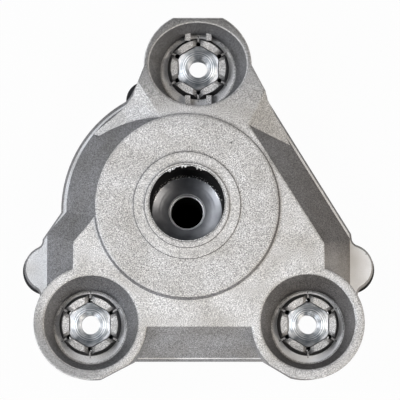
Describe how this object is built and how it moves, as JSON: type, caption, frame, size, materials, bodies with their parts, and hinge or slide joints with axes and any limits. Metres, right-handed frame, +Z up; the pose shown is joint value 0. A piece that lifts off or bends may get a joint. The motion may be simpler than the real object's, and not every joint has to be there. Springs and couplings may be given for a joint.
{
  "type": "strut bearing",
  "caption": "Triangular die-cast strut top mount with round wells for threaded inserts, a rubber rod bush in its bore and a ball bearing for the spring underneath.",
  "frame": {"origin": "on the bearing's axis, at the spring seat's lower face", "axes": "+Z up along the bearing's axis towards the car body, +Y towards the single top insert"},
  "size_m": [0.1619, 0.1622, 0.057],
  "materials": {
    "cast_aluminium": "shot blasted",
    "insert_steel": "zinc plated",
    "shell_steel": "phosphated",
    "dark_steel": "satin",
    "sleeve_steel": "turned",
    "rubber": "matt",
    "black_paint": "e-coated",
    "screw_steel": "zinc plated",
    "cap_plastic": "moulded",
    "race_steel": "ground",
    "ball_steel": "polished",
    "cage_plastic": "moulded"
  },
  "bodies": {
    "mount": {"housing": "cast_aluminium", "insert_top": "insert_steel", "insert_left": "insert_steel", "insert_right": "insert_steel", "outer_shell": "shell_steel", "rubber_bush": "rubber", "dish_plate": "dark_steel", "inner_sleeve": "sleeve_steel", "lower_plate": "black_paint", "plate_screw_left": "screw_steel", "plate_screw_right": "screw_steel", "plate_screw_top": "screw_steel", "bearing_top_cap": "cap_plastic", "upper_race": "race_steel"},
    "cage": {"ball_cage": "cage_plastic", "ball_01": "ball_steel", "ball_02": "ball_steel", "ball_03": "ball_steel", "ball_04": "ball_steel", "ball_05": "ball_steel", "ball_06": "ball_steel", "ball_07": "ball_steel", "ball_08": "ball_steel", "ball_09": "ball_steel", "ball_10": "ball_steel", "ball_11": "ball_steel", "ball_12": "ball_steel", "ball_13": "ball_steel", "ball_14": "ball_steel", "ball_15": "ball_steel", "ball_16": "ball_steel", "ball_17": "ball_steel", "ball_18": "ball_steel", "ball_19": "ball_steel", "ball_20": "ball_steel"},
    "spring_side": {"spring_seat": "cap_plastic", "lower_race": "race_steel", "outer_seal": "rubber", "inner_seal": "rubber"}
  },
  "joints": [
    {"name": "steering_turn", "type": "hinge", "parent": "mount", "child": "spring_side", "pos_m": [0, 0, 0.0074], "axis": [0, 0, 1], "continuous": true},
    {"name": "cage_turn", "type": "hinge", "parent": "mount", "child": "cage", "pos_m": [0, 0, 0.0074], "axis": [0, 0, 1], "continuous": true}
  ],
  "couplings": [
    {"joint": "cage_turn", "follows": "steering_turn", "ratio": 0.5}
  ]
}
